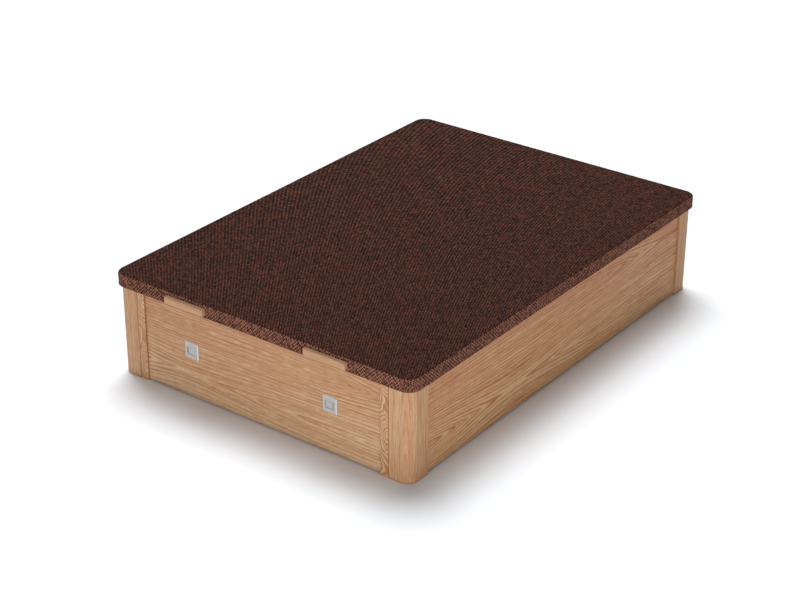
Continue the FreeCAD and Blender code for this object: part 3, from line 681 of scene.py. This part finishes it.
def corner_rings(u, v, flats):
    """How far each point of a grid lies past the flat middle, and how far round a corner.

    The larger of its two distances past the flat is the ring, and the smaller over the larger
    gives the turn, from 0 on one side to a quarter circle on the other.
    """
    past_u = np.maximum(np.abs(u) - flats[0], 0)[:, None] + 0 * v
    past_v = np.maximum(np.abs(v) - flats[1], 0)[None, :] + 0 * u[:, None]
    ring = np.maximum(past_u, past_v)
    lesser = np.minimum(past_u, past_v) / np.maximum(ring, 1e-9)
    return ring, np.where(past_u >= past_v, lesser, 2 - lesser) * math.pi / 4


def lay_out(u, v, flats, turn, out):
    """Where a grid's points lie: on the flat, or out past it in the direction of the turn."""
    x = np.sign(u)[:, None] * (np.minimum(np.abs(u), flats[0])[:, None] + out * np.cos(turn))
    y = np.sign(v)[None, :] * (np.minimum(np.abs(v), flats[1])[None, :] + out * np.sin(turn))
    return x, y


def wrapped_slab(u, v, flats, height, look, marks):
    """Sheet wrapped over a slab with rounded corners: a function of its flat coordinates u and v.

    The ring goes along the profile: flat, a quarter round, the border drawn in by half a sine, a
    quarter round under the slab and back in, at its end raised by the cloth.
    """
    start, wall, wall_end, under, end = marks
    radius, low = look.top_edge, look.low_edge
    ridge_width, tuck_share = 0.0032, 0.6
    ring, turn = corner_rings(u, v, flats)
    top = np.clip((ring - start) / radius, 0, math.pi / 2)
    down = np.clip(ring - wall, 0, wall_end - wall)
    foot = np.clip((ring - wall_end) / low, 0, math.pi / 2)
    back = np.clip(ring - under, 0, end - under)
    ridge = np.exp(-(((ring - (start + wall) / 2) / ridge_width) ** 2))
    stand = look.ridge * ridge * math.sqrt(0.5)
    out = np.minimum(ring, start) + radius * np.sin(top) - low * (1 - np.cos(foot)) - back + stand
    out -= look.pull * np.sin(math.pi * down / (wall_end - wall)) * (down > 0)
    rise = height - radius * (1 - np.cos(top)) - down - low * np.sin(foot) + stand
    rise += look.cloth * np.clip(back / (tuck_share * (end - under)), 0, 1) ** 2
    x, y = lay_out(u, v, flats, turn, out * (ring > 0))
    return np.stack((x, y, rise), -1), ring, ridge


def swelling(points, held, most):
    """How far a light pressure lifts a sheet held at its rim: a short cloth simulation, capped."""
    rows, columns = held.shape
    frames = 20
    trial = add_mesh("swell trial", points, quads(rows, columns))
    mesh, scene = trial.data, bpy.context.scene
    rim = trial.vertex_groups.new(name="rim")
    rim.add(np.flatnonzero(held).tolist(), 1.0, "REPLACE")
    cloth = trial.modifiers.new("swell", "CLOTH")
    setting = cloth.settings
    setting.quality, setting.mass = 6, 0.4
    setting.tension_stiffness = setting.compression_stiffness = 25
    setting.shear_stiffness, setting.bending_stiffness = 12, 4
    setting.use_pressure, setting.uniform_pressure_force = True, 4
    setting.vertex_group_mass = "rim"
    setting.effector_weights.gravity = 0
    cloth.collision_settings.use_collision = False
    for moment in range(1, frames + 1):
        scene.frame_set(moment)
    moved = np.empty(points.size, np.float32)
    swollen = trial.evaluated_get(bpy.context.evaluated_depsgraph_get())
    swollen.data.vertices.foreach_get("co", moved)
    bpy.data.objects.remove(trial)
    bpy.data.meshes.remove(mesh)
    scene.frame_set(1)
    gain = np.clip(moved.reshape(rows, columns, 3)[..., 2] - points[..., 2], 0, None)
    if not np.isfinite(gain).all() or gain.max() <= 0:
        raise RuntimeError("the lid's top did not swell")
    return gain * (most / gain.max())


def lid_cover(look):
    """The upholstery: a sheet wrapped over the lid, its top swollen by the padding under it."""
    pitch, rim_width, trial_counts = 0.0125, 0.04, (50, 70)
    flats = [half - look.corner for half in COVER_HALVES]
    height = COVER_HIGH.z - COVER_LOW.z
    marks = edge_marks(look, height)
    u, v = (wrap_lines(flat, marks, pitch) for flat in flats)
    points, ring, ridge = wrapped_slab(u, v, flats, height, look, marks)
    trial_u, trial_v = (
        np.linspace(rim_width - half, half - rim_width, count)
        for half, count in zip(COVER_HALVES, trial_counts)
    )
    flat = np.stack(np.broadcast_arrays(trial_u[:, None], trial_v[None, :], height), -1)
    rim = np.zeros(flat.shape[:2], bool)
    rim[[0, -1], :] = rim[:, [0, -1]] = True
    lift = swelling(flat, rim, look.crown)
    lift = np.stack([np.interp(v, trial_v, row) for row in lift])
    gain = np.stack([np.interp(u, trial_u, column) for column in lift.T], 1)
    points[..., 2] += gain * (ring < marks[0]) + COVER_LOW.z
    points[..., 1] += LID_MID
    weave = np.stack(np.broadcast_arrays(u[:, None], v[None, :], 0.0), -1)
    border = np.clip((ring - marks[0]) / (marks[1] - marks[0]), 0, 1)
    piece = put(
        "lid_upholstery",
        points,
        quads(len(u), len(v)),
        "lid",
        lid_fabric(look),
        {"weave": weave, "border": border[..., None], "ridge": ridge[..., None]},
    )
    thicken(piece, look.cloth)
    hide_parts("lid_cover")


def lid_padding(look, fitting):
    """The foam: an upper and a lower wrapped half that meet at half height, closed by a weld."""
    half_x = (FOAM_HIGH.x - FOAM_LOW.x) / 2
    half_y = (FOAM_HIGH.y - FOAM_LOW.y) / 2
    middle = (FOAM_HIGH.z + FOAM_LOW.z) / 2
    rise = (FOAM_HIGH.z - FOAM_LOW.z) / 2
    reach, edge, pitch, crown, weld = look.corner - 0.002, 0.005, 0.02, 0.001, 1e-5
    start = reach - edge
    flats = half_x - reach, half_y - reach
    near, far = np.linspace(0, start, 6)[1:], start + np.linspace(0, edge + rise, 9)[1:]
    past = np.concatenate((near, far))
    inner = [np.linspace(-flat, flat, int(flat / pitch)) for flat in flats]
    u, v = (np.concatenate((row[0] - past[::-1], row, row[-1] + past)) for row in inner)
    ring, turn = corner_rings(u, v, flats)
    bend = np.clip((ring - start) / (edge + rise), 0, 1) * math.pi / 2
    out = np.where(bend > 0, start + edge * np.sin(bend), ring)
    high = rise * np.cos(bend)
    x, y = lay_out(u, v, flats, turn, out * (ring > 0))
    swell = crown * np.outer(1 - (u / u[-1]) ** 4, 1 - (v / v[-1]) ** 4)
    upper = np.stack((x, y + LID_MID, middle + high + swell), -1)
    lower = np.stack((x, y + LID_MID, middle - high), -1)
    faces = quads(len(u), len(v))
    points = np.concatenate((upper.reshape(-1, 3), lower.reshape(-1, 3)))
    faces = np.concatenate((faces, faces[:, ::-1] + len(points) // 2))
    piece = put("lid_foam_pad", points, faces, "lid", soft_foam(fitting))
    mend(piece, lambda shell: bmesh.ops.remove_doubles(shell, verts=shell.verts, dist=weld))
    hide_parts("lid_foam")


def lid_lining(look):
    """The lining: flat where it is stapled, and between two slats it hangs by half a sine squared.

    Small waves that run out from the staples cross it, and fade to nothing at its rim.
    """
    inset, thickness, wave_height = 0.046, 0.0005, 0.00035
    rows, columns = 121, 211
    half_x, half_y = (half - inset for half in COVER_HALVES)
    x = np.linspace(-half_x, half_x, rows)[:, None]
    y = np.linspace(-half_y, half_y, columns)[None, :]
    slat = (SLATS_HIGH.y - SLATS_LOW.y) / 2
    bay = np.interp(y, [-half_y, -slat, 0, slat, half_y], [0, 1, 2, 3, 4])
    free_x, free_y = ARM_LOW.x - 0.012, half_y - 0.03
    inside = np.clip(1 - (x / free_x) ** 8, 0, 1) * np.clip(1 - (y / free_y) ** 24, 0, 1)
    hang = np.sin(math.pi * bay) ** 2
    waves = np.sin(x * 41 + 3 * np.sin(y * 9)) * np.sin(y * 13 + 2 * np.sin(x * 7))
    waves = waves + np.sin(x * 90 + y * 25) * 0.4
    drop = inside * (look.sag * hang + wave_height * (waves + 1.4))
    points = np.stack(np.broadcast_arrays(x, y + LID_MID, COVER_LOW.z - drop), -1)
    faces = quads(rows, columns)[:, ::-1]
    piece = put("lid_underlining", points, faces, "lid", lining_cloth(look))
    thicken(piece, thickness)
    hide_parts("lid_lining")
    return half_x, half_y


def lining_staples(half_x, half_y, fitting):
    """Wire staples round the lining: a loop of wire, bowed at its ends, repeated along the rim."""
    inset, pitch, width, wire, clearance = 0.010, 0.055, 0.011, 0.0006, 0.01
    stations, corners_round = 7, 6
    run = np.linspace(-1, 1, stations)
    spine = np.stack((run * width / 2, 0 * run, -wire * 0.55 * (1 - np.abs(run) ** 6)), 1)
    angle = np.linspace(0, 2 * math.pi, corners_round + 1)[:-1]
    tube = np.stack((0 * angle, np.cos(angle) * wire / 2, np.sin(angle) * wire / 2), 1)
    one = (spine[:, None, :] + tube[None, :, :]).reshape(-1, 3)
    long_x, long_y = (np.arange(0.03 - half, half - 0.02, pitch) for half in (half_x, half_y))
    far_x, far_y = half_x - inset, half_y - inset
    ends = np.concatenate([np.stack((long_x, 0 * long_x + y), 1) for y in (-far_y, far_y)])
    sides = np.concatenate([np.stack((0 * long_y + x, long_y), 1) for x in (-far_x, far_x)])
    place = sides[:, 1] + LID_MID
    clear = (np.abs(sides[:, 0]) < ARM_LOW.x - clearance) | (place < ARM_LOW.y - clearance)
    sides = sides[clear | (place > ARM_HIGH.y + clearance)]
    across = one[None] + np.concatenate((ends, 0 * ends[:, :1]), 1)[:, None]
    turned = one[:, [1, 0, 2]][None] + np.concatenate((sides, 0 * sides[:, :1]), 1)[:, None]
    points = np.concatenate((across, turned)).reshape(-1, 3) + (0, LID_MID, COVER_LOW.z)
    spots = np.arange(stations - 1), np.arange(corners_round)
    along, around = np.meshgrid(*spots, indexing="ij")
    first = (along * corners_round + around).ravel()
    second = (along * corners_round + (around + 1) % corners_round).ravel()
    tile = np.stack((first, second, second + corners_round, first + corners_round), 1)
    starts = len(one) * np.arange(len(ends) + len(sides))
    faces = (tile[None] + starts[:, None, None]).reshape(-1, 4)
    metal = satin_metal("staple wire", fitting.zinc, 0.34, (300, 300, 300))
    piece = put("lining_staples", points, faces, "lid", metal)

    def close_ends(shell):
        bmesh.ops.holes_fill(shell, edges=shell.edges, sides=corners_round)
        bmesh.ops.recalc_face_normals(shell, faces=shell.faces)

    mend(piece, close_ends)


def placed(right, up, back, place):
    """Matrix of a thing at a place, by the directions of its own axes."""
    rows = np.stack((right, up, back), 1).tolist()
    return Matrix([[*row, spot] for row, spot in zip(rows, place)] + [[0, 0, 0, 1]])


def aim(place, target):
    """Matrix of a lamp at a place that looks at a target."""
    back = np.subtract(place, target) / np.linalg.norm(np.subtract(place, target))
    right = np.cross((0, 0, 1), back)
    right /= np.linalg.norm(right)
    return placed(right, np.cross(back, right), back, place)


def soft_lamp(name, place, target, size, power):
    """An even rectangle of light that the camera doesn't see."""
    lamp = bpy.data.lights.new(name, "AREA")
    lamp.shape, lamp.size, lamp.size_y, lamp.energy = "RECTANGLE", size[0], size[1], power
    holder = add(name, lamp)
    holder.matrix_world = aim(place, target)
    holder.visible_camera = False


def photo_camera(look):
    """Camera by azimuth, elevation and roll: its back is a unit vector of the first two angles."""
    place = (3.8658, -5.2874, 3.4801)
    azimuth, elevation, roll = (math.radians(angle) for angle in (36.712, 27.172, 0.228))
    back = np.array(
        (
            math.sin(azimuth) * math.cos(elevation),
            -math.cos(azimuth) * math.cos(elevation),
            math.sin(elevation),
        )
    )
    level_right = np.array((math.cos(azimuth), math.sin(azimuth), 0))
    level_up = np.cross(back, level_right)
    right = math.cos(roll) * level_right + math.sin(roll) * level_up
    up = math.cos(roll) * level_up - math.sin(roll) * level_right
    camera = bpy.data.cameras.new("camera")
    camera.lens, camera.sensor_width, camera.sensor_fit = look.lens, 36.0, "HORIZONTAL"
    camera.clip_start, camera.clip_end = 0.05, 200
    holder = add("camera", camera)
    holder.matrix_world = placed(right, up, back, place)
    bpy.context.scene.camera = holder


def seen(nodes):
    """1 for what the camera sees, straight or in metal or glass, and 0 for scattered light."""
    path = nodes.node("ShaderNodeLightPath", None, None, "Is Camera Ray")
    return path.most(path.other("Is Glossy Ray")).most(path.other("Is Transmission Ray"))


def studio(look):
    """Pale floor that keeps the shadow and turns white farther out, an even sky and soft lamps."""
    floor_reach, floor_lines, white_start, white_end, lift = 40, 9, 2.5, 6.0, 0.02
    scene = bpy.context.scene
    scene.view_settings.view_transform = "Standard"
    sky = scene.world or bpy.data.worlds.new("sky")
    scene.world = sky
    sky.use_nodes = True
    nodes = Nodes(sky.node_tree)
    strength = seen(nodes) * (1 - look.sky) + look.sky
    light = nodes.node("ShaderNodeBackground", None, {"Color": WHITE, "Strength": strength})
    nodes.node("ShaderNodeOutputWorld", None, {"Surface": light})
    span = np.linspace(-floor_reach, floor_reach, floor_lines)
    points = np.stack(np.broadcast_arrays(span[:, None], span[None, :], 0.0), -1)
    floor = add_mesh("floor", points, quads(floor_lines, floor_lines)[:, ::-1])
    f = Finish("pale floor")
    paint = f.node("ShaderNodeBsdfDiffuse", None, {"Color": (*look.floor, 1)})
    x, y, _ = f.place()
    away = f.step((x * x + y * y) ** 0.5, white_start, white_end)
    strength = seen(f) * (away + lift)
    glow = f.node("ShaderNodeEmission", None, {"Color": WHITE, "Strength": strength})
    shader = f.node("ShaderNodeAddShader", None, {0: paint, 1: glow})
    f.node("ShaderNodeOutputMaterial", None, {"Surface": shader})
    floor.data.materials.append(f.material)
    centre = (0.0, 0.0, 0.25)
    soft_lamp("key lamp", (-7.5, 7.5, 23.4), centre, (15.8, 15.8), look.key)
    soft_lamp("front lamp", (1.0, -4.6, 0.8), centre, (2.4, 0.4), look.front)
    soft_lamp("side lamp", (4.2, -3.4, 0.7), centre, (2.0, 0.4), look.side)


class BEDBASE_OT_oak(Operator):
    """Give the panels, posts and strips their oak"""

    bl_idname = "bedbase.oak"
    bl_label = "Oak panels and posts"

    def execute(self, context):
        look = context.scene.bedbase_oak
        # painted light: the panels are made paler towards the floor
        gloss, painted_foot_light = look.gloss, 0.9
        tones = (look.dark, look.middle, look.pale)
        # painted light: a warmer copy of the oak tones for the sides, standing in for the warmer
        # light on them
        painted_warm_tones = (linear(154, 83, 44), linear(189, 136, 93), linear(207, 170, 126))
        foot_end, head_end = (-0.225, 0.101, 0.298, 0.006), (0.05, 0.13, 0.28, 0.0)
        sides = (-0.207, 0.101, 0.298, 0.0045)
        # painted shade along the panels' foot
        trim = (PANEL_FOOT, look.painted_shade, look.middle)
        for name, colours, seed, grain, arches, figure, panels in (
            ("oak foot end", tones, 2.0, along_x, foot_end, 0.45, ["front_panel"]),
            ("oak head end", tones, 11.0, along_x, head_end, 0.45, ["rear_panel"]),
            ("oak sides", painted_warm_tones, 5.0, along_y, sides, 0.65, both("side_panel")),
        ):
            rings = board_rings(*arches)
            oak = wood(name, colours, seed, grain, rings, look.line, figure, gloss, painted_foot_light, trim)
            oak.on(*panels)
        rings = pith_rings(-0.280, 0.0170, 0.50, 0.90, 0.012)
        # painted shade along the posts' foot
        trim = (POST_FOOT, look.painted_shade, look.middle)
        posts = wood("oak posts", tones, 8.0, upright, rings, look.ring, 0.15, gloss, trim=trim)
        posts.on(*corners("post"))
        curly_oak(look).on(*corners("strip"))
        return {"FINISHED"}


class BEDBASE_OT_handles(Operator):
    """Give the two handle bars their wood"""

    bl_idname = "bedbase.handles"
    bl_label = "Handle bars"

    def execute(self, context):
        look = context.scene.bedbase_oak
        tones = (linear(150, 103, 70), linear(185, 142, 105), linear(205, 164, 125))
        # painted shade: a dark line along the lower edge for the shadow under the bars, and darker
        # top faces
        trim = (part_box("left_handle")[0].z, look.painted_handle_shade, look.painted_handle_shade)
        rings = pith_rings(0.20, 0.06, 0.0, 3.0, 0.02)
        bars = wood("handle wood", tones, 23.0, along_x, rings, 0.007, 0.5, look.gloss, trim=trim)
        bars.on(*both("handle"))
        return {"FINISHED"}


class BEDBASE_OT_vents(Operator):
    """Give the ventilation plates their satin metal"""

    bl_idname = "bedbase.vents"
    bl_label = "Ventilation plates"

    def execute(self, context):
        look = context.scene.bedbase_fitting
        low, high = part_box("right_vent_frame")
        middle, half = (low + high) / 2, (high.x - low.x) / 2
        # painted highlight on the plates' rims
        rim, brush = (middle, half - 0.004, look.vent_rim_highlight), (60, 900, 900)
        plates = satin_metal("vent plate metal", look.vent_face, 0.44, brush, 0.6, rim=rim)
        plates.on(*both("vent_frame", "vent_cover"))
        moulded("collar plastic", look.plastic, 0.5, 1400, 0.0002).on("vent_collars")
        return {"FINISHED"}


class BEDBASE_OT_cover(Operator):
    """Make the lid's upholstery"""

    bl_idname = "bedbase.cover"
    bl_label = "Lid upholstery"

    def execute(self, context):
        lid_cover(context.scene.bedbase_lid)
        return {"FINISHED"}


class BEDBASE_OT_padding(Operator):
    """Make the foam pad and give the lid's board and battens their finish"""

    bl_idname = "bedbase.padding"
    bl_label = "Lid padding and frame"

    def execute(self, context):
        fitting = context.scene.bedbase_fitting
        lid_padding(context.scene.bedbase_lid, fitting)
        tones = (linear(168, 126, 82), fitting.timber, linear(226, 204, 166))
        ends = ("lid_front_batten", "lid_rear_batten", "lid_cross_slats", "floor_beam")
        rings = pith_rings(0.35, 0.06, 0.9, 3.0, 0.03)
        wood("softwood across", tones, 31.0, along_x, rings, 0.006, 0.8, 0.6).on(*ends)
        sides = ("lid_left_batten", "lid_right_batten", "floor_cleats")
        wood("softwood along", tones, 37.0, along_y, rings, 0.006, 0.8, 0.6).on(*sides)
        fibre_board(fitting).on("lid_board", "front_floor_board", "rear_floor_board")
        return {"FINISHED"}


class BEDBASE_OT_lining(Operator):
    """Make the lining under the lid and its staples"""

    bl_idname = "bedbase.lining"
    bl_label = "Lid lining"

    def execute(self, context):
        half_x, half_y = lid_lining(context.scene.bedbase_lid)
        lining_staples(half_x, half_y, context.scene.bedbase_fitting)
        return {"FINISHED"}


class BEDBASE_OT_feet(Operator):
    """Give the glides, the beam's foot and the lid's buffers their finish"""

    bl_idname = "bedbase.feet"
    bl_label = "Glides and buffers"

    def execute(self, context):
        look = context.scene.bedbase_fitting
        glides = moulded("glide plastic", look.plastic, 0.5, 1200, 0.0002)
        glides.on("post_glides", "floor_beam_foot")
        moulded("buffer rubber", look.rubber, 0.8, 900, 0.0003).on("lid_buffers")
        return {"FINISHED"}


class BEDBASE_OT_lift(Operator):
    """Give the lift gear, joint plates and screws their steel"""

    bl_idname = "bedbase.lift"
    bl_label = "Lift gear"

    def execute(self, context):
        look = context.scene.bedbase_fitting
        painted = both("base_plate", "rear_link", "front_link", "lid_arm")
        moulded("black powder coat", look.steel, 0.46, 1600, 0.0002).on(*painted)
        moulded("strut enamel", look.steel, 0.22, 300, 0.00005, 0.6).on(*both("strut_barrel"))
        rods = satin_metal("chromed rod", look.chrome, 0.10, (900, 900, 30), spread=0.06)
        rods.on(*both("strut_rod"))
        pins = ("base_pivot_pins", "lid_pivot_pins", "strut_foot_studs")
        turned = satin_metal("turned steel", look.zinc, 0.28, (1400, 90, 90))
        turned.on(*both("rod_stud", "slide_pin"), *pins)
        screwed = ("base_plate", "cleat", "handle", "joint_plate", "lid_arm")
        screws = [f"{place}_screws" for place in screwed]
        satin_metal("zinc plating", look.zinc, 0.36, (240, 240, 240)).on("joint_plates", *screws)
        return {"FINISHED"}


class BEDBASE_OT_stage(Operator):
    """Set up the camera, lamps, sky and floor"""

    bl_idname = "bedbase.stage"
    bl_label = "Studio"

    def execute(self, context):
        look = context.scene.bedbase_stage
        photo_camera(look)
        studio(look)
        return {"FINISHED"}


class BEDBASE_PT_steps(Panel):
    """The steps that dress the bed base, in order"""

    bl_label = "Bed base"
    bl_idname = "BEDBASE_PT_steps"
    bl_space_type = "VIEW_3D"
    bl_region_type = "UI"
    bl_category = "Bed base"

    def draw(self, context):
        for step in STEPS:
            self.layout.operator(step.bl_idname)
        for group in LOOKS:
            box = self.layout.box()
            for name in LOOKS[group].__annotations__:
                box.prop(getattr(context.scene, group), name)


STEPS = (
    BEDBASE_OT_oak,
    BEDBASE_OT_handles,
    BEDBASE_OT_vents,
    BEDBASE_OT_cover,
    BEDBASE_OT_padding,
    BEDBASE_OT_lining,
    BEDBASE_OT_feet,
    BEDBASE_OT_lift,
    BEDBASE_OT_stage,
)
LOOKS = {
    "bedbase_oak": OakLook,
    "bedbase_lid": LidLook,
    "bedbase_fitting": FittingLook,
    "bedbase_stage": StageLook,
}


def register():
    for group, kind in LOOKS.items():
        bpy.utils.register_class(kind)
        setattr(bpy.types.Scene, group, PointerProperty(type=kind))
    for step in (*STEPS, BEDBASE_PT_steps):
        bpy.utils.register_class(step)


def unregister():
    for step in (*STEPS, BEDBASE_PT_steps):
        bpy.utils.unregister_class(step)
    for group, kind in LOOKS.items():
        delattr(bpy.types.Scene, group)
        bpy.utils.unregister_class(kind)


def main():
    register()
    bpy.ops.bedbase.stage()
    bpy.ops.bedbase.oak()
    bpy.ops.bedbase.handles()
    bpy.ops.bedbase.vents()
    bpy.ops.bedbase.cover()
    bpy.ops.bedbase.padding()
    bpy.ops.bedbase.lining()
    bpy.ops.bedbase.feet()
    bpy.ops.bedbase.lift()


if __name__ == "__main__":
    main()
